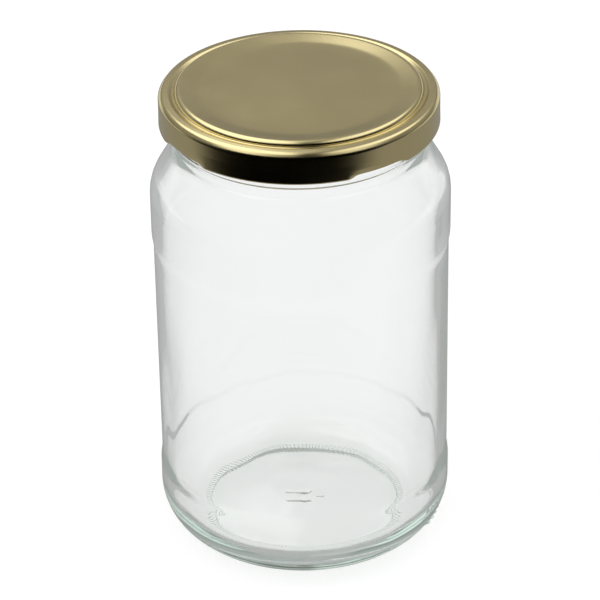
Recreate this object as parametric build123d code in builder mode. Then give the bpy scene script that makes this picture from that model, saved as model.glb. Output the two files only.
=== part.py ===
from build123d import *
import os

# Round glass preserving jar with a four-lug twist-off lid.
# Millimetres, +Z up, origin at the centre of the plane the jar stands on.
# Angles are measured from +X towards +Y, seen from above.

os.makedirs("parts", exist_ok=True)

# ---- Glass body --------------------------------------------------------
jar_height = 150.6  # standing plane to the top of the sealing rim
body_radius = 46.25  # at the two contact rings, which meet other jars in a row
body_wall = 2.8
floor_thickness = 4.6  # glass between the push-up and the inside floor
floor_crown = 0.9  # the inside floor rises this much to its centre
push_up = 2.6  # hollow under the base, at its centre
heel_radius = 16.5
inner_heel_radius = 10.0
bearing_width = 2.2  # flat ring that the jar stands on
bearing_step = 0.7  # rise from the standing plane to the edge of the push-up

label_recess = 0.5  # the label panel is this much smaller in radius
recess_run = 1.2  # height of the slope between a contact ring and the label panel
lower_ring_top = 22.6
upper_ring_bottom = 105.0
recess_blend = 1.5

# ---- Shoulder and finish -------------------------------------------------
shoulder_drop = 28.7  # from the rim down to where the shoulder would leave the body
shoulder_blend = 12.0
neck_drop = 14.5  # from the rim down to the foot of the neck
neck_inset = 1.4  # the neck is this much smaller in radius than the finish
neck_wall = 2.6
neck_blend = 1.6
bead_drop = 11.2  # from the rim down to the foot of the finish
bead_slope = 1.1
finish_radius = 39.4
finish_wall = 3.2  # glass between the bore and the outside of the finish
bore_drop = 12.0  # straight length of the bore, from the rim
rim_blend = 1.3

# ---- Threads and lugs ----------------------------------------------------
lug_count = 4
lug_start = 34.0  # angle of the first lug when the lid is closed
lug_span = 22.0
lead = 15.0  # rise of the lid in one full turn
ramp_span = 58.0
ramp_reach = 1.6  # how far a thread ramp stands out from the finish
ramp_root = 0.5  # how deep a ramp is rooted in the finish wall
ramp_height = 1.25
ramp_crest = 0.7
ramp_lead_in = 3.0  # the ramp starts this many degrees before the lug
lug_clearance = 0.15  # between a lug and the underside of its ramp
lug_side_clearance = 0.4  # between the end of a lug and the finish

# ---- Lid -----------------------------------------------------------------
sheet = 0.2  # tinplate thickness
curl_clearance = 0.5  # between the thread ramps and the curl
curl_width = 1.3
skirt_relief = 0.1  # the skirt is this much smaller in radius than the curl
lid_depth = 10.3  # from the outer ring of the top to the bottom of the curl
corner_blend = 2.1
groove_inset = 0.8  # middle of the groove inside the finish's outside
groove_half_width = 0.9
groove_depth = 0.55  # below the outer ring
panel_step = 1.2  # the panel edge stands this much above the outer ring
panel_step_run = 0.35
panel_dish = 0.4  # the flat centre lies this much below the panel edge
panel_dish_run = 4.05
edge_blend = 0.7
groove_blend = 0.4
curl_lip = 0.5
curl_blend = 0.45
lug_height = 1.2
lug_rise = 1.35  # underside of a lug above the bottom of the curl

# ---- Sealing ring ----------------------------------------------------------
seal_gap = 0.05  # between the ring and what it lies against
seal_thickness = 0.9  # over the rim
seal_inset = 0.7  # the ring starts this far outside the bore
seal_side_gap = 1.6  # between the ring and the inside of the skirt
seal_lip = 0.7  # the ring reaches this far down outside the rim
seal_lip_clearance = 0.55

# ---- Worked out from the sizes above ---------------------------------------
label_radius = body_radius - label_recess
inner_radius = label_radius - body_wall
bore_radius = finish_radius - finish_wall
thread_radius = finish_radius + ramp_reach
neck_radius = finish_radius - neck_inset
bearing_outer_radius = body_radius - heel_radius
bearing_inner_radius = bearing_outer_radius - bearing_width
floor_height = push_up + floor_thickness - floor_crown
shoulder_height = jar_height - shoulder_drop
neck_height = jar_height - neck_drop
bead_height = jar_height - bead_drop
bore_foot_height = jar_height - bore_drop
shoulder_lean = (body_radius - neck_radius) / (neck_height - shoulder_height)

curl_inner_radius = thread_radius + curl_clearance
lid_radius = curl_inner_radius + curl_width
groove_radius = finish_radius - groove_inset
ring_inner_radius = groove_radius + groove_half_width
panel_radius = groove_radius - groove_half_width
panel_edge_radius = panel_radius - panel_step_run
panel_flat_radius = panel_edge_radius - panel_dish_run
skirt_radius = lid_radius - skirt_relief - sheet / 2
curl_line_radius = lid_radius - sheet / 2

groove_height = jar_height + seal_thickness + 2 * seal_gap + sheet / 2
ring_height = groove_height + groove_depth
edge_height = ring_height + panel_step
flat_height = edge_height - panel_dish
lid_bottom = ring_height + sheet / 2 - lid_depth
curl_line_bottom = lid_bottom + sheet / 2

lug_bottom = lid_bottom + lug_rise
lug_top = lug_bottom + lug_height
lug_inner_radius = finish_radius + lug_side_clearance
rise_per_degree = lead / 360
ramp_start = lug_start - lug_span / 2 - ramp_lead_in
ramp_low = lug_top + lug_clearance - ramp_lead_in * rise_per_degree + ramp_height / 2


def outline(corners):
    """Straight runs through (radius, height, blend) corners, rounded by each blend."""
    points = [(radius, height) for radius, height, _ in corners]
    blends = [blend for _, _, blend in corners]
    return FilletPolyline(*points, radius=blends[1:-1])


# ---- Glass jar ---------------------------------------------------------------
outside = [
    (0, push_up, 0),
    (bearing_inner_radius * 0.55, push_up * 0.8, 30),
    (bearing_inner_radius - bearing_step, bearing_step, 0.5),
    (bearing_inner_radius, 0, 0.3),
    (body_radius, 0, heel_radius),
    (body_radius, lower_ring_top, recess_blend),
    (label_radius, lower_ring_top + recess_run, recess_blend),
    (label_radius, upper_ring_bottom - recess_run, recess_blend),
    (body_radius, upper_ring_bottom, recess_blend),
    (body_radius, shoulder_height, shoulder_blend),
    (neck_radius, neck_height, neck_blend),
    (neck_radius, bead_height - bead_slope, 0.6),
    (finish_radius, bead_height, 0.6),
    (finish_radius, jar_height, rim_blend),
    (bore_radius, jar_height, rim_blend),
]
inside = [
    (bore_radius, jar_height, 0),
    (bore_radius, bore_foot_height, 6),
    (neck_radius - neck_wall, neck_height, 4),
    (inner_radius, shoulder_height - body_wall * shoulder_lean, shoulder_blend - body_wall),
    (inner_radius, floor_height, inner_heel_radius),
    (0, floor_height + floor_crown, 0),
]

with BuildPart() as ramp:
    with BuildLine() as ramp_path:
        Helix(
            pitch=lead,
            height=ramp_span * rise_per_degree,
            radius=finish_radius,
            center=(0, 0, ramp_low),
        )
    with BuildSketch(Plane(origin=ramp_path.line @ 0, x_dir=(1, 0, 0), z_dir=ramp_path.line % 0)):
        with BuildLine():
            Polyline(
                (-ramp_root, -ramp_height / 2),
                (ramp_reach - ramp_crest / 2, -ramp_height / 2),
                (ramp_reach, -ramp_height / 2 + ramp_crest / 2),
                (ramp_reach, 0),
                (ramp_reach - ramp_crest, ramp_height / 2),
                (-ramp_root, ramp_height / 2),
                close=True,
            )
        make_face()
    sweep(is_frenet=True)

with BuildPart() as glass_jar:
    with BuildSketch(Plane.XZ):
        with BuildLine():
            outline(outside + inside[1:])
            Line((0, floor_height + floor_crown), (0, push_up))
        make_face()
    revolve(axis=Axis.Z)
    with PolarLocations(0, lug_count, start_angle=ramp_start):
        add(ramp.part)

glass_jar.part.label = "glass_jar"
export_step(glass_jar.part, "parts/glass_jar.step")

# ---- Lid shell: one pressing of tinplate, its edge curled inwards ---------------
lid_line = [
    (0, flat_height, 0),
    (panel_flat_radius, flat_height, 3),
    (panel_edge_radius, edge_height, edge_blend),
    (panel_radius, groove_height, groove_blend),
    (groove_radius, groove_height, groove_blend),
    (ring_inner_radius, ring_height, groove_blend),
    (skirt_radius, ring_height, corner_blend),
    (curl_line_radius, curl_line_bottom, curl_blend),
    (curl_inner_radius + sheet / 2, curl_line_bottom, curl_blend),
    (curl_inner_radius + sheet / 2, curl_line_bottom + curl_width, curl_blend / 2),
    (curl_inner_radius + sheet / 2 + curl_lip, curl_line_bottom + curl_width, 0),
]
lug_pitch = 360 / lug_count

with BuildPart() as lid_shell:
    with BuildSketch(Plane.XZ):
        with BuildLine():
            outline(lid_line)
        trace(line_width=sheet)
    revolve(axis=Axis.Z)
    for lug in range(lug_count):
        lug_from = lug_start - lug_span / 2 + lug * lug_pitch
        with BuildSketch(Plane.XZ.rotated((0, 0, lug_from))):
            with BuildLine():
                Polyline(
                    (lug_inner_radius, lug_bottom),
                    (skirt_radius, lug_bottom),
                    (skirt_radius, lug_top),
                    (lug_inner_radius, lug_top),
                    close=True,
                )
            make_face()
        revolve(axis=Axis.Z, revolution_arc=lug_span)

lid_shell.part.label = "lid_shell"
export_step(lid_shell.part, "parts/lid_shell.step")

# ---- Sealing ring: plastisol flowed into the channel of the lid -------------------
seal_inner_radius = bore_radius + seal_inset
seal_outer_radius = skirt_radius - sheet / 2 - seal_side_gap
seal_lip_radius = finish_radius + seal_lip_clearance
seal_bottom = jar_height + seal_gap
seal_top = seal_bottom + seal_thickness
seal_shoulder_top = seal_top + groove_depth - seal_gap

with BuildPart() as liner_ring:
    with BuildSketch(Plane.XZ):
        with BuildLine():
            Polyline(
                (seal_inner_radius, seal_bottom),
                (seal_lip_radius, seal_bottom),
                (seal_lip_radius, seal_bottom - seal_lip),
                (seal_outer_radius, seal_bottom - seal_lip),
                (seal_outer_radius, seal_shoulder_top),
                (ring_inner_radius + groove_blend, seal_shoulder_top),
                (groove_radius + groove_blend, seal_top),
                (seal_inner_radius, seal_top),
                close=True,
            )
        make_face()
    revolve(axis=Axis.Z)

liner_ring.part.label = "liner_ring"
export_step(liner_ring.part, "parts/liner_ring.step")
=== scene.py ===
import math

import bpy
import numpy as np
from mathutils import Matrix, Vector


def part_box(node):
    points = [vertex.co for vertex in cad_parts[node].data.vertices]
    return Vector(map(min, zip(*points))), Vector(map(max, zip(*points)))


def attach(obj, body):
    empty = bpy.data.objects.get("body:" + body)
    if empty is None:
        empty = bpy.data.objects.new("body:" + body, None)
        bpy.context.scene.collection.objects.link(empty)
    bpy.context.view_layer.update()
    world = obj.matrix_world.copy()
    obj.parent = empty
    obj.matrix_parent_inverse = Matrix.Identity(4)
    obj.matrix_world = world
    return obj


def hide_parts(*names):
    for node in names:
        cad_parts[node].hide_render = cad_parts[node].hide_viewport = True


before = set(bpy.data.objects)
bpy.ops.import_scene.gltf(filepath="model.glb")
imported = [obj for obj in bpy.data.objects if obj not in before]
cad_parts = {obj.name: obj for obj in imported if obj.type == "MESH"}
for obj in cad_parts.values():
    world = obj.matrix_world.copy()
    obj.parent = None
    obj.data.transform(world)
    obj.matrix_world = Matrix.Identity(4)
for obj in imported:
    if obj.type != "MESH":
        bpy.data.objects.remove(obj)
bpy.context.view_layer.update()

# A preserving jar: a clear glass jar with contact rings, shoulder, neck and a four-lug
# finish, its gold-lacquered twist-off lid, and the sealing ring inside the lid.
# Lengths below are in millimetres, heights are from the plane the jar stands on, and
# angles are in degrees from +X towards +Y. Meshes are in metres.

MM = 0.001
glass_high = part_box("glass_jar")[1]
lid_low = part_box("lid_shell")[0]

# ---- Sizes of the glass ------------------------------------------------------------
jar_height = glass_high.z / MM
body_radius = glass_high.x / MM
body_wall = 2.8
floor_glass = 4.6
floor_crown = 0.9
push_up = 2.6
heel_radius = 16.5
inner_heel_radius = 10.0
bearing_width = 2.2
label_recess = 0.5
recess_run = 3.0
lower_ring_top = 22.6
upper_ring_bottom = 105.0
recess_blend = 7.0
shoulder_drop = 28.7  # drops are from the rim down
shoulder_blend = 12.0
neck_drop = 14.5
neck_inset = 1.4  # the neck is this much smaller in radius than the finish
neck_wall = 2.6
neck_swell = 1.0  # the glass is this much thicker where the shoulder runs into the neck
parting_drop = 1.2  # from the foot of the neck down to where the two moulds meet
parting_step = 0.6  # the ledge left there
bead_drop = 11.2
bead_slope = 1.1
bore_drop = 12.0
finish_radius = 39.4
finish_wall = 3.2
rim_blend = 1.3

shoulder_height = jar_height - shoulder_drop
neck_height = jar_height - neck_drop
bead_height = jar_height - bead_drop
bore_foot_height = jar_height - bore_drop
neck_radius = finish_radius - neck_inset
label_radius = body_radius - label_recess
inner_radius = label_radius - body_wall
inner_blend = shoulder_blend - body_wall
bore_radius = finish_radius - finish_wall
bearing_outer = body_radius - heel_radius
bearing_inner = bearing_outer - bearing_width
inner_floor = push_up + floor_glass - floor_crown
shoulder_lean = (body_radius - neck_radius) / (neck_height - shoulder_height)

# ---- Threads and lugs --------------------------------------------------------------
lug_count = 4
lug_start = 34.0
lug_span = 22.0
lug_rise = 1.35  # underside of a lug above the bottom of the curl
lug_height = 1.2
lug_clearance = 0.15  # between a lug and the underside of its ramp
lead = 15.0  # rise of the lid in one full turn
ramp_span = 58.0
ramp_reach = 1.6
ramp_height = 1.25
ramp_lead_in = 3.0  # the ramp starts this many degrees before the lug
lug_pitch = 360 / lug_count
lug_bottom = lid_low.z / MM + lug_rise
lug_top = lug_bottom + lug_height
rise_per_degree = lead / 360
ramp_half = ramp_height / 2
ramp_start = lug_start - lug_span / 2 - ramp_lead_in
ramp_low = lug_top + lug_clearance - ramp_lead_in * rise_per_degree + ramp_half

# ---- Sizes of the lid --------------------------------------------------------------
# Lines run along the middle of the sheet.
sheet = 0.2
curl_clearance = 0.5  # between the thread ramps and the curl
curl_width = 1.3
curl_lip = 0.5
skirt_relief = 0.1  # the skirt is this much smaller in radius than the curl
skirt_foot = 4.6  # the lid's top line ends this far above its lower edge
groove_rise = 1.1  # floor of the groove above the rim
groove_depth = 0.55
panel_step = 1.2  # the panel's edge stands this much above the outer ring
panel_dish = 0.4
lug_side_clearance = 0.4  # between the end of a lug and the finish
seal_gap = 0.05  # between the sealing ring and the rim
seal_thickness = 0.9  # over the rim
seal_inset = 0.7  # the ring starts this far outside the bore
seal_side_gap = 1.6  # between the ring and the inside of the skirt
seal_lip = 0.7  # the ring reaches this far down outside the rim
seal_lip_clearance = 0.55
curl_inner = finish_radius + ramp_reach + curl_clearance
lid_radius = curl_inner + curl_width
skirt_line = lid_radius - skirt_relief - sheet / 2
curl_line = lid_radius - sheet / 2
groove_height = jar_height + groove_rise
ring_height = groove_height + groove_depth
edge_height = ring_height + panel_step
flat_height = edge_height - panel_dish
lid_bottom = lid_low.z / MM
curl_bottom = lid_bottom + sheet / 2
lug_inner = finish_radius + lug_side_clearance


# ---- Shapes ------------------------------------------------------------------------
def placed(name, data):
    """A new object in the scene, at the origin."""
    made = bpy.data.objects.new(name, data)
    bpy.context.scene.collection.objects.link(made)
    return made


def unit(direction):
    """The direction at length one."""
    return direction / np.linalg.norm(direction)


def rounded(corners, step=0.05):
    """Points along straight runs through (radius, height, blend) corners.

    At each inner corner an arc of radius blend touches both runs: its centre lies on
    the corner's bisector, blend / cos(turn / 2) away, and it sweeps the turn.
    """
    points = [np.array(corner[:2], float) for corner in corners]
    pieces = [points[0][None]]
    for before, corner, after, row in zip(points, points[1:], points[2:], corners[1:]):
        blend = row[2]
        arriving, leaving = unit(corner - before), unit(after - corner)
        turn = math.acos(np.clip(arriving @ leaving, -1, 1))
        bisector = unit(leaving - arriving)
        count = max(3, int(blend * turn / step))
        sweep = np.linspace(-turn / 2, turn / 2, count)[:, None]
        centre = corner + bisector * blend / math.cos(turn / 2)
        across = np.cos(sweep) * -bisector + np.sin(sweep) * unit(arriving + leaving)
        pieces.append(centre + blend * across)
    pieces.append(points[-1][None])
    return np.concatenate(pieces)


def respaced(line, count, fineness=None):
    """count points along line, closer together where fineness(radius, height) is larger.

    The running sum of length times fineness is split into equal shares.
    """
    steps = np.linalg.norm(np.diff(line, axis=0), axis=1)
    parts = np.maximum(1, (steps / 0.05).astype(int))
    start = np.repeat(np.arange(len(parts)), parts)
    before = np.repeat(np.cumsum(parts) - parts, parts)
    share = (np.arange(len(start)) - before) / parts[start]
    dense = line[start] + (line[start + 1] - line[start]) * share[:, None]
    dense = np.concatenate([dense, line[-1:]])
    lengths = np.linalg.norm(np.diff(dense, axis=0), axis=1)
    if fineness is not None:
        middle = (dense[1:] + dense[:-1]) / 2
        lengths = lengths * fineness(middle[:, 0], middle[:, 1])
    run = np.concatenate([[0], np.cumsum(lengths)])
    wanted = np.linspace(0, run[-1], count)
    return np.stack([np.interp(wanted, run, dense[:, axis]) for axis in (0, 1)], axis=1)


def soft_step(low, high, value):
    """0 below low, 1 above high, and the smooth cubic between them."""
    t = np.clip((value - low) / (high - low), 0, 1)
    return t * t * (3 - 2 * t)


def ring(radius, height, angles):
    """A ring of points: (radius cos angle, radius sin angle, height), in metres."""
    turned = np.radians(angles)
    flat = np.stack([radius * np.cos(turned), radius * np.sin(turned)], axis=-1)
    level = np.broadcast_to(height, flat.shape[:-1])
    return np.concatenate([flat, level[..., None]], axis=-1) * MM


def bridged(first, count, second, next_count):
    """Triangles between two closed rings whose counts divide each other.

    Both rings are walked in as many steps as the finer one has; the coarser one stands
    still on some steps, and its triangles with two equal corners are dropped. A ring of
    one point is a pole.
    """
    steps = max(count, next_count)
    walk = np.arange(steps + 1)
    here = first + (walk * count + steps // 2) // steps % count
    there = second + (walk * next_count + steps // 2) // steps % next_count
    lower = np.stack([here[:-1], here[1:], there[1:]], axis=1)
    upper = np.stack([here[:-1], there[1:], there[:-1]], axis=1)
    both = np.concatenate([lower, upper])
    return both[(both != np.roll(both, 1, axis=1)).all(axis=1)]


def skinned(name, rings, material, looped=False):
    """A closed mesh through rings of points, each joined to the next.

    It ends in a pole at either end, or is looped, with its last ring joined to its first.
    Its signed volume, the sum of corner triple products over six, says whether the
    triangles face inwards, and then they are turned over.
    """
    counts = [len(points) for points in rings]
    starts = np.concatenate([[0], np.cumsum(counts[:-1])])
    points = np.concatenate(rings)
    order = list(range(len(rings))) + [0] * looped
    bands = [
        bridged(starts[here], counts[here], starts[there], counts[there])
        for here, there in zip(order, order[1:])
    ]
    faces = np.concatenate(bands)
    corners = points[faces]
    volume = (corners[:, 0] * np.cross(corners[:, 1], corners[:, 2])).sum() / 6
    if volume < 0:
        faces = faces[:, ::-1]
    mesh = bpy.data.meshes.new(name)
    mesh.from_pydata(points.tolist(), [], faces.tolist())
    mesh.materials.append(material)
    mesh.polygons.foreach_set("use_smooth", np.ones(len(faces), bool))
    mesh.update()
    return placed(name, mesh)


# ---- Materials ---------------------------------------------------------------------
def linear(colour):
    """An sRGB hex colour as linear red, green, blue and alpha 1."""
    channels = [int(colour[i : i + 2], 16) / 255 for i in (1, 3, 5)]
    light = [
        c / 12.92 if c <= 0.04045 else ((c + 0.055) / 1.055) ** 2.4 for c in channels
    ]
    return (*light, 1.0)


def node(tree, kind, inputs=None, **settings):
    """Adds a node with its settings; an input is given a value, or a socket to link."""
    made = tree.nodes.new("ShaderNode" + kind)
    for name, value in settings.items():
        setattr(made, name, value)
    for name, value in (inputs or {}).items():
        if isinstance(value, bpy.types.NodeSocket):
            tree.links.new(value, made.inputs[name])
        else:
            made.inputs[name].default_value = value
    return made


def combined(tree, kind, *values):
    """The Math node kind over the given values and sockets."""
    return node(tree, "Math", dict(enumerate(values)), operation=kind).outputs[0]


def blank(name):
    """A new material with an empty node tree, and its output node."""
    material = bpy.data.materials.new(name)
    material.use_nodes = True
    material.node_tree.nodes.clear()
    return material, material.node_tree, node(material.node_tree, "OutputMaterial")


def bottle_glass():
    """Soda-lime container glass, blown in a mould and fire-polished.

    Clear and mirror-smooth, a little green-grey where the eye looks along the wall, with
    the slow waves that the blank's cooling leaves. Light that has been reflected inside
    the wall more than three times is let straight out, and so are the lamps' rays.
    """
    wave_length, wave_height = 26.0, 0.35
    material, tree, output = blank("blown_soda_lime_glass")
    place = node(tree, "TexCoord").outputs["Object"]
    stretched = node(tree, "Mapping", {"Vector": place, "Scale": (1, 1, 0.45)})
    waves = node(
        tree,
        "TexNoise",
        {"Vector": stretched.outputs[0], "Scale": 1 / (wave_length * MM), "Detail": 2.0},
    )
    bump = node(
        tree,
        "Bump",
        {"Height": waves.outputs[0], "Distance": wave_height * MM, "Strength": 0.6},
    )
    glass = node(
        tree,
        "BsdfPrincipled",
        {
            "Base Color": linear("#FFFFFF"),
            "Transmission Weight": 1.0,
            "IOR": 1.52,
            "Roughness": 0.0,
            "Normal": bump.outputs[0],
        },
    )
    path = node(tree, "LightPath")
    mirrored = combined(tree, "GREATER_THAN", path.outputs["Glossy Depth"], 3.5)
    long = combined(tree, "GREATER_THAN", path.outputs["Ray Depth"], 9.5)
    trapped = combined(tree, "MAXIMUM", mirrored, long)
    let_out = combined(tree, "MAXIMUM", path.outputs["Is Shadow Ray"], trapped)
    clear = node(tree, "BsdfTransparent", {"Color": linear("#FAFBFA")})
    shaders = {0: let_out, 1: glass.outputs[0], 2: clear.outputs[0]}
    surface = node(tree, "MixShader", shaders)
    tint = node(tree, "VolumeAbsorption", {"Color": linear("#B2CDC1"), "Density": 10.0})
    tree.links.new(surface.outputs[0], output.inputs["Surface"])
    tree.links.new(tint.outputs[0], output.inputs["Volume"])
    return material


def gold_lacquer():
    """Epoxy-phenolic gold lacquer, roller-coated and stoved on tinplate.

    The tinplate's dull shine shows through a clear amber film: a satin metal with a
    slight mottle in colour and shine. The plate's rolled grain is a few hundredths of a
    millimetre, too fine to show, so it is drawn at 0.9 mm.
    """
    grain_size, grain_height, mottle_size = 0.9, 0.006, 14.0
    material, tree, output = blank("stoved_gold_lacquer_on_tinplate")
    place = node(tree, "TexCoord").outputs["Object"]
    fine = {"Vector": place, "Scale": 1 / (grain_size * MM), "Detail": 2.0}
    grain = node(tree, "TexNoise", fine).outputs[0]
    broad = {"Vector": place, "Scale": 1 / (mottle_size * MM), "Detail": 3.0}
    mottle = node(tree, "TexNoise", broad).outputs[0]
    limits = {"From Min": 0.3, "From Max": 0.7, "To Min": 0.19, "To Max": 0.23}
    shine = node(tree, "MapRange", {"Value": mottle, **limits})
    tones = {"Color1": linear("#DDCD97"), "Color2": linear("#E4D5A3")}
    tone = node(tree, "MixRGB", {"Fac": mottle, **tones})
    bump = node(
        tree, "Bump", {"Height": grain, "Distance": grain_height * MM, "Strength": 1.0}
    )
    lacquer = node(
        tree,
        "BsdfPrincipled",
        {
            "Base Color": tone.outputs[0],
            "Metallic": 1.0,
            "Roughness": shine.outputs[0],
            "Normal": bump.outputs[0],
        },
    )
    tree.links.new(lacquer.outputs[0], output.inputs["Surface"])
    return material


def plastisol():
    """Plastisol flowed into the lid's channel and fused.

    Off-white, rubbery and faintly pitted, with hardly any shine.
    """
    pit_size, pit_depth = 1.6, 0.03
    material, tree, output = blank("fused_plastisol")
    place = node(tree, "TexCoord").outputs["Object"]
    fine = {"Vector": place, "Scale": 1 / (pit_size * MM), "Detail": 3.0}
    pits = node(tree, "TexNoise", fine).outputs[0]
    depth = {"Distance": pit_depth * MM, "Strength": 0.5}
    bump = node(tree, "Bump", {"Height": pits, **depth})
    tones = {"Color1": linear("#DAD5C6"), "Color2": linear("#E6E2D6")}
    tone = node(tree, "MixRGB", {"Fac": pits, **tones})
    rubber = node(
        tree,
        "BsdfPrincipled",
        {
            "Base Color": tone.outputs[0],
            "Roughness": 0.55,
            "IOR": 1.5,
            "Normal": bump.outputs[0],
        },
    )
    tree.links.new(rubber.outputs[0], output.inputs["Surface"])
    return material


# ---- Glass jar ---------------------------------------------------------------------
# Round the ring that the jar stands on, teeth are pressed into the glass. A row of small
# beads stands out from the heel on one side.
knurl_count = 176
fine_turn = knurl_count * 6  # points round the knurled ring
coarse_turn = fine_turn // 4  # points round the rest of the jar
knurl_inner = 30.6
knurl_outer = 33.2
knurl_depth = 1.0
knurl_run_in = 0.65  # the teeth start this far inside the ring
mark_height = 0.45
base_rise = 1.0  # the base starts this much above the standing plane inside the knurls
bead_angles = (-6.0, -10.0, -14.0, -18.0, -22.0, -26.0)
bead_level = 6.0  # height of the heel beads
bead_radius = 1.0
bead_reach = 0.9

outside = [
    (0, push_up, 0),
    (bearing_inner * 0.55, push_up * 0.8, 30),
    (knurl_inner - 0.6, base_rise, 0.5),
    (knurl_inner, 0.03, 0.15),
    (knurl_inner + 0.4, 0.02, 0.1),
    (body_radius, 0, heel_radius - 1.4),
    (body_radius, lower_ring_top, recess_blend),
    (label_radius, lower_ring_top + recess_run, recess_blend),
    (label_radius, upper_ring_bottom - recess_run, recess_blend),
    (body_radius, upper_ring_bottom, recess_blend),
    (body_radius, shoulder_height, shoulder_blend),
    (neck_radius + parting_step, neck_height - parting_drop, 0.12),
    (neck_radius, neck_height - parting_drop + 0.35, 0.12),
    (neck_radius, bead_height - bead_slope, 0.6),
    (finish_radius, bead_height, 0.6),
    (finish_radius, jar_height, rim_blend),
    (bore_radius, jar_height, 0),
]
inside = [
    (finish_radius, jar_height, 0),
    (bore_radius, jar_height, rim_blend),
    (bore_radius, bore_foot_height, 6),
    (neck_radius - neck_wall - neck_swell, neck_height - neck_swell, 9),
    (inner_radius, shoulder_height - body_wall * shoulder_lean, inner_blend),
    (inner_radius, inner_floor, inner_heel_radius),
    (0, inner_floor + floor_crown, 0),
]


def thread_ramps(angle, height):
    """How far the four thread ramps stand out from the finish.

    Each is a helical rib whose middle climbs at a steady rise per degree: full reach
    across its crest, sloping away within its half height, and fading at both ends.
    """
    along = (angle - ramp_start) % lug_pitch
    middle = ramp_low + along * rise_per_degree
    across = 1 - soft_step(0.15, ramp_half + 0.15, np.abs(height - middle))
    ends = soft_step(0, 4, along) * (1 - soft_step(ramp_span - 6, ramp_span, along))
    return ramp_reach * across * ends


def cooling_waves(angle, height, rows):
    """A sum of sines: amplitude * sin(waves * angle + height / run + start)."""
    turned = np.radians(angle)
    return sum(a * np.sin(m * turned + height / k + s) for a, m, k, s in rows)


# amplitude, waves in a turn, height over which the phase moves by 1, and starting phase
outer_waves = [(0.035, 3, 31.0, 0.4), (0.02, 7, -19.0, 2.1), (0.012, 12, 13.0, 4.0)]
seal_waves = [(1, 11, 1.0, 0), (0.8, 29, 1.0, 2)]
knurl_waves = [(0.2, 7, 2.0, 0), (0.15, 31, 1.0, 1)]
floor_waves = [(1, 2, 9.0, 0.5), (0.7, 3, -6.0, 2)]
inner_waves = [
    (0.16, 2, 60.0, 1.0),
    (0.10, 5, -42.0, 0.2),
    (0.07, 9, 24.0, 2.6),
    (0.035, 17, -15.0, 5.1),
    (0.05, 4, 9.0, 3.3),
]


# middle x, middle y and half length of each mark under the base; a dot has no length
mark_places = [(-1.8, 2.2, 3.6), (-1.8, -2.2, 3.6), (5.4, 0.0, 0.0)]


def base_marks(x, y):
    """Height, from 0 to 1, of the plain marks under the base: two bars and a dot."""
    total = 0
    for middle_x, middle_y, half_length in mark_places:
        beyond = np.maximum(np.abs(x - middle_x) - half_length, 0)
        total = total + (1 - soft_step(0.25, 0.75, np.hypot(beyond, y - middle_y)))
    return np.clip(total, 0, 1)


def heel_beads(angle, height):
    """How far the small round beads in a row on the heel stand out.

    Each is a dome: reach * (1 - the smooth cubic of its distance over its radius).
    """
    bulge = 0
    for middle in bead_angles:
        across = np.radians(((angle - middle + 180) % 360) - 180) * body_radius
        distance = np.hypot(across, height - bead_level) / bead_radius
        bulge = bulge + bead_reach * (1 - soft_step(0.35, 1.1, distance))
    return bulge


def glass_jar(material):
    """Revolves the outside and inside outlines, and adds what isn't round.

    Radius = outline + cooling waves on the sides + beads on the heel + thread ramps.
    Height = outline - marks under the base + slow waves in the floor. Round the knurled
    ring, height = outline + window across the ring * (0.3 - depth * raised cosine of the
    angle), and never below the standing plane. Each ring of points is one array over
    the angle.
    """
    outer_line = respaced(
        rounded(outside),
        140,
        lambda r, z: 1
        + 3.0 * (r < 20) * (z < 10)
        + 9.0 * ((r > knurl_inner - 1) & (r < knurl_outer) & (z < 10))
        + 1.0 * ((z < heel_radius) & (r >= knurl_outer))
        + 3.0 * (np.abs(z - bead_level) < bead_radius)
        + 4.0 * (z > neck_height - 1.8)
        + 0.8 * (z > shoulder_height - 12)
        + 3.0 * (np.abs(z - lower_ring_top - recess_run / 2) < 2)
        + 3.0 * (np.abs(z - upper_ring_bottom + recess_run / 2) < 2),
    )
    inner_line = respaced(
        rounded(inside),
        90,
        lambda r, z: 1 + 1.2 * (z > shoulder_height - 12) + 1.5 * (z < 20) * (r > 25),
    )
    rings = []
    for radius, height in outer_line[:-1]:
        knurled = knurl_inner - knurl_run_in - 0.05 < radius < knurl_outer and height < 3
        count = 1 if radius < 1e-6 else fine_turn if knurled else coarse_turn
        angles = np.arange(count) * 360 / count
        if knurled:
            window = soft_step(knurl_inner - knurl_run_in, knurl_inner - 0.1, radius)
            window *= 1 - soft_step(knurl_outer - 0.8, knurl_outer, radius)
            tooth = 0.5 - 0.5 * np.cos(np.radians(angles * knurl_count))
            uneven = 1 + cooling_waves(angles, radius, knurl_waves)
            drop = knurl_depth * window * tooth * uneven
            level = np.maximum(height + 0.3 * window - drop, 0)
            rings.append(ring(radius, level, angles))
            continue
        side = soft_step(3, 25, height)
        side *= 1 - soft_step(neck_height - 8, neck_height, height)
        reach = radius + side * cooling_waves(angles, height, outer_waves)
        if height < heel_radius < radius:
            reach = reach + heel_beads(angles, height)
        if height > bead_height and radius > finish_radius - 0.01:
            reach = reach + thread_ramps(angles, height)
        low = height
        if radius < 14 and height < 5:
            turned = np.radians(angles)
            marks = base_marks(radius * np.cos(turned), radius * np.sin(turned))
            low = height - mark_height * marks
        rings.append(ring(reach, low, angles))
    for radius, height in inner_line:
        if height > jar_height - 1e-6 and radius > bore_radius + rim_blend:
            continue
        count = 1 if radius < 1e-6 else coarse_turn
        angles = np.arange(count) * 360 / count
        side = soft_step(0, 12, radius - 25)
        side *= 1 - soft_step(neck_height - 12, neck_height, height)
        reach = radius + side * cooling_waves(angles, height, inner_waves)
        dip = 0.12 * soft_step(2, 10, radius) * (1 - soft_step(25, 33, radius))
        low = height + dip * cooling_waves(angles, radius, floor_waves)
        rings.append(ring(reach, low, angles))
    return skinned("glass_jar_body", rings, material)


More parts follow.
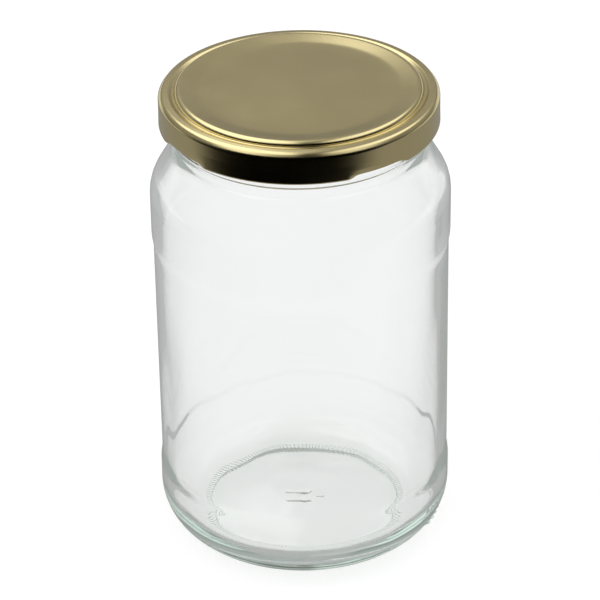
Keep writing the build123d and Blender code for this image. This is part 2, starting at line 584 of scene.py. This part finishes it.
# ---- Lid ---------------------------------------------------------------------------
# The top line runs from the centre over the dished panel, down its step into the groove,
# over the outer ring and down the skirt. The curled edge or a lug's edge goes on from it.
top_line = [
    (0, flat_height, 0),
    (finish_radius - 9.0, flat_height - 0.42, 24),
    (finish_radius - 2.05, edge_height + 0.08, 1.4),
    (finish_radius - 1.7, groove_height, 0.4),
    (finish_radius - 0.8, groove_height, 0.4),
    (finish_radius + 0.1, ring_height, 0.35),
    (finish_radius + 2.2, ring_height - 0.20, 1.2),
    (skirt_line, ring_height - 1.5, 1.2),
    (skirt_line, lid_bottom + skirt_foot, 0),
]
curled_edge = [
    (skirt_line, lid_bottom + skirt_foot, 0),
    (curl_line, curl_bottom, 0.45),
    (curl_inner + sheet / 2, curl_bottom, 0.45),
    (curl_inner + sheet / 2, curl_bottom + curl_width, 0.25),
    (curl_inner + sheet / 2 + curl_lip, curl_bottom + curl_width, 0),
]
lugged_edge = [
    (skirt_line, lid_bottom + skirt_foot, 0),
    (skirt_line - 0.02, lid_bottom + 2.8, 2.0),
    (skirt_line - 0.3, lid_bottom + 1.05, 0.5),
    (lug_inner + sheet / 2, lug_bottom + sheet / 2, 0.4),
    (lug_inner + sheet / 2, lug_top - sheet / 2, 0.4),
    (curl_inner - 0.9, lug_top - sheet / 2, 0),
]
edge_points = 40
lug_ease = 4.2  # degrees over which the curl turns into a lug


def lid_angles():
    """Angles round the lid: 24 in each ease beside a lug, 12 across it, 44 between."""
    half = lug_span / 2
    stops = [-half - lug_ease, -half + lug_ease, half - lug_ease, half + lug_ease]
    one = np.concatenate(
        [
            np.linspace(stops[0], stops[1], 24, endpoint=False),
            np.linspace(stops[1], stops[2], 12, endpoint=False),
            np.linspace(stops[2], stops[3], 24, endpoint=False),
            np.linspace(stops[3], lug_pitch + stops[0], 44, endpoint=False),
        ]
    )
    return np.concatenate([one + lug_start + i * lug_pitch for i in range(lug_count)])


def sheet_faces(line):
    """The sheet's outer and inner face: the line moved half a sheet along its normals."""
    along = np.gradient(line, axis=0)
    along[0] = (1, 0)
    normal = np.stack([-along[:, 1], along[:, 0]], axis=1)
    normal /= np.linalg.norm(normal, axis=1)[:, None]
    return line + normal * sheet / 2, line - normal * sheet / 2


def lid(material):
    """Revolves the pressed sheet; near a lug the curled edge is mixed into the lug's.

    Section(angle) = (1 - w) * curled + w * lugged, where w is 1 across a lug and falls
    smoothly to 0 on either side. Both faces of the sheet share one closed skin.
    """
    top = respaced(
        rounded(top_line),
        74,
        lambda r, z: 0.25 + 2.2 * (r > finish_radius - 9) + 2.0 * (r > finish_radius - 3),
    )
    angles = lid_angles()
    from_lug = np.abs((angles - lug_start + lug_pitch / 2) % lug_pitch - lug_pitch / 2)
    lugged = 1 - soft_step(lug_span / 2 - lug_ease, lug_span / 2 + lug_ease, from_lug)
    sections = []
    for corners in (curled_edge, lugged_edge):
        edge = respaced(rounded(corners), edge_points)
        line = np.concatenate([top[:-1], edge])
        outer, inner = sheet_faces(line)
        outer[0, 0] = inner[0, 0] = 0
        sections.append(np.concatenate([outer, inner[::-1]]))
    rings = []
    for curled, bent in zip(*sections):
        if curled[0] == 0:
            rings.append(ring(0.0, curled[1], np.zeros(1)))
            continue
        radius, height = curled[:, None] + lugged * (bent - curled)[:, None]
        rings.append(ring(radius, height, angles))
    return skinned("lid_pressing", rings, material)


# ---- Sealing ring ------------------------------------------------------------------
def sealing_ring(material):
    """Revolves the ring's rounded outline; its lip sways by less than 0.1 mm.

    Height = outline + sway * a sum of sines of the angle, where sway is 0 on the rim.
    """
    bottom = jar_height + seal_gap
    lip_bottom = bottom - seal_lip
    top = bottom + seal_thickness
    shoulder_top = top + groove_depth - seal_gap
    inner, lip = bore_radius + seal_inset, finish_radius + seal_lip_clearance
    outer = skirt_line - sheet / 2 - seal_side_gap
    corners = [
        ((inner + finish_radius) / 2, bottom, 0),
        (lip, bottom, 0.1),
        (lip, lip_bottom, 0.2),
        (outer, lip_bottom, 0.3),
        (outer, shoulder_top, 0.15),
        (finish_radius + 0.5, shoulder_top, 0.1),
        (finish_radius - 0.4, top, 0.1),
        (inner, top, 0.25),
        (inner, bottom, 0.25),
        ((inner + finish_radius) / 2, bottom, 0),
    ]
    line = respaced(rounded(corners, 0.03), 73)[:-1]
    angles = np.arange(360.0)
    rings = []
    for radius, height in line:
        free = soft_step(0.1, 0.5, bottom - height)
        sway = 0.05 * free * cooling_waves(angles, height, seal_waves)
        rings.append(ring(radius, height + sway, angles))
    return skinned("sealing_ring", rings, material, looped=True)


# ---- Pieces on their bodies --------------------------------------------------------
jar_piece = glass_jar(bottle_glass())
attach(jar_piece, "jar")
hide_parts("glass_jar")

lid_piece = lid(gold_lacquer())
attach(lid_piece, "lid")
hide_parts("lid_shell")

seal_piece = sealing_ring(plastisol())
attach(seal_piece, "seal")
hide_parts("liner_ring")


# ---- Studio ------------------------------------------------------------------------
def ramp(tree, value, low, high, low_level, high_level):
    """A smooth ramp of value from low to high, between two levels of light."""
    limits = {"From Min": low, "From Max": high}
    levels = {"To Min": low_level, "To Max": high_level}
    inputs = {"Value": value, **limits, **levels}
    return node(tree, "MapRange", inputs, interpolation_type="SMOOTHSTEP").outputs[0]


def leaning(tree, place, direction):
    """The dot product of a place or direction with a fixed one."""
    return node(
        tree, "VectorMath", {0: place, 1: direction}, operation="DOT_PRODUCT"
    ).outputs["Value"]


def studio_sky(tree, place):
    """Light by direction, as the lid and the glass mirror it.

    A dim room, brighter behind than in front, with one long soft box above on the left
    and another on the right, and a dim gap between them overhead. Each box is the product
    of smooth ramps on its left and right edges and on its lower and front edges.
    """
    side = leaning(tree, place, (1, 0, 0))
    depth = leaning(tree, place, (0, 1, 0))
    height = leaning(tree, place, (0, 0, 1))
    room = ramp(tree, depth, -0.7, 0.6, 0.0, 0.31)
    low_room = ramp(tree, height, 0.05, 0.42, 0.45, 1.15)
    total = combined(tree, "MULTIPLY", room, low_room)
    horizon = ramp(tree, height, 0.02, 0.12, 0.75, 0.0)
    behind = ramp(tree, depth, -0.1, 0.3, 0.0, 1.0)
    total = combined(tree, "ADD", total, combined(tree, "MULTIPLY", horizon, behind))
    boxes = [
        # side direction, its dark and bright limits, lowest and full height, strength
        (side, -0.01, -0.05, 0.55, 0.63, 1.42),
        (side, 0.16, 0.34, 0.54, 0.68, 1.10),
    ]
    for edge, dark, bright, low, full, strength in boxes:
        across = ramp(tree, edge, dark, bright, 0, strength)
        above = ramp(tree, height, low, full, 0, 1)
        ahead = ramp(tree, depth, -0.75, -0.45, 0, 1)
        glow = combined(tree, "MULTIPLY", across, above)
        glow = combined(tree, "MULTIPLY", glow, ahead)
        total = combined(tree, "ADD", total, glow)
    return total


def after_mirroring(tree, path, straight, mirrored):
    """straight, or mirrored for light that has been reflected on its way to the eye.

    Light reflected inside the glass has come from all over the white studio, so there
    the pattern is seen over a share of white. Light that a shiny surface gathers
    straight from the studio counts as reflected too.
    """
    white_share = 0.35
    reflected = combined(tree, "GREATER_THAN", path.outputs["Glossy Depth"], 0.5)
    seen, refracted = path.outputs["Is Camera Ray"], path.outputs["Is Transmission Ray"]
    direct = combined(tree, "MAXIMUM", seen, refracted)
    sampled = combined(tree, "SUBTRACT", 1.0, direct)
    reflected = combined(tree, "MAXIMUM", reflected, sampled)
    through = combined(tree, "GREATER_THAN", path.outputs["Transmission Depth"], 0.5)
    share = combined(tree, "MULTIPLY_ADD", through, -white_share, 1.0)
    share = combined(tree, "MULTIPLY", share, reflected)
    levels = {"Color1": straight, "Color2": mirrored}
    return node(tree, "MixRGB", {"Fac": share, **levels}).outputs[0]


def studio_world():
    """White for the eye and through glass; reflections see the studio's own pattern."""
    world = bpy.data.worlds.new("studio")
    world.use_nodes = True
    tree = world.node_tree
    tree.nodes.clear()
    place = node(tree, "TexCoord").outputs["Generated"]
    path = node(tree, "LightPath")
    seen = after_mirroring(tree, path, (1, 1, 1, 1), studio_sky(tree, place))
    levels = {"Color1": seen, "Color2": (0.6, 0.6, 0.6, 1)}
    level = node(tree, "MixRGB", {"Fac": path.outputs["Is Diffuse Ray"], **levels})
    background = node(tree, "Background", {"Color": level.outputs[0], "Strength": 1.0})
    output = node(tree, "OutputWorld")
    tree.links.new(background.outputs[0], output.inputs[0])
    bpy.context.scene.world = world


def studio_floor():
    """A wide pale sheet; it glows white to the eye and through glass, and keeps shadows.

    In mirrors it has painted shade instead of white: grey near the jar, lighter far
    behind, and black past a line that runs a little askew in front of the jar.
    """
    material, tree, output = blank("pale_paper_sweep")
    place = node(tree, "TexCoord").outputs["Object"]
    front = leaning(tree, place, (0.25, 1, 0))
    # painted shade and light seen only in mirrors: grey near the jar, black past the
    # askew line in front, lighter far behind
    painted_mirror_tone = ramp(tree, front, -0.22, -0.06, 0.0, 0.30)
    far = ramp(tree, front, 0.4, 0.9, 0.0, 0.5)
    painted_mirror_tone = combined(tree, "ADD", painted_mirror_tone, far)
    path = node(tree, "LightPath")
    seen = after_mirroring(tree, path, (1, 1, 1, 1), painted_mirror_tone)
    lift = ramp(tree, path.outputs["Is Camera Ray"], 0, 1, 0.52, 0.55)
    shaded = node(tree, "MixRGB", {"Fac": 0.45, "Color1": seen, "Color2": (0, 0, 0, 1)})
    paper = node(tree, "BsdfDiffuse", {"Color": shaded.outputs[0]})
    glow = node(tree, "Emission", {"Color": seen, "Strength": lift})
    both = node(tree, "AddShader", {0: paper.outputs[0], 1: glow.outputs[0]})
    tree.links.new(both.outputs[0], output.inputs["Surface"])
    mesh = bpy.data.meshes.new("studio_floor")
    half, level = 3.0, -0.1 * MM
    signs = [(-1, -1), (1, -1), (1, 1), (-1, 1)]
    mesh.from_pydata([(half * x, half * y, level) for x, y in signs], [], [(0, 1, 2, 3)])
    mesh.materials.append(material)
    floor = placed("studio_floor", mesh)


def soft_box(name, place, size, power):
    """A square area lamp aimed at the middle of the jar.

    Mirrors see the sky's own boxes in its place.
    """
    lamp = bpy.data.lights.new(name, "AREA")
    lamp.size = size
    lamp.energy = power
    holder = placed(name, lamp)
    aim = Vector((0, 0, 0.07)) - Vector(place)
    turned = aim.to_track_quat("-Z", "Y").to_matrix().to_4x4()
    holder.matrix_world = Matrix.Translation(place) @ turned
    holder.visible_camera = False
    holder.visible_glossy = False
    holder.visible_transmission = False


def camera():
    """Looks down at the jar from in front, with a long lens and a slight lean."""
    elevation, distance, aim_height = math.radians(30.4), 0.966, 0.0783
    lean = math.radians(-0.89)
    lens = bpy.data.cameras.new("camera")
    lens.sensor_width = 36
    lens.lens = 184.6
    lens.shift_x = -0.0036167
    holder = placed("camera", lens)
    back = Vector((0, -math.cos(elevation), math.sin(elevation)))
    place = Matrix.Translation(Vector((0, 0, aim_height)) + back * distance)
    turned = back.to_track_quat("Z", "Y").to_matrix().to_4x4()
    holder.matrix_world = place @ turned @ Matrix.Rotation(lean, 4, "Z")
    bpy.context.scene.camera = holder


studio_world()
studio_floor()
soft_box("soft_box_left", (-0.9, -0.2, 1.1), 0.9, 5.5)
soft_box("soft_box_right", (0.9, 0.3, 1.1), 0.9, 4.5)
camera()
bpy.context.scene.view_settings.view_transform = "Standard"
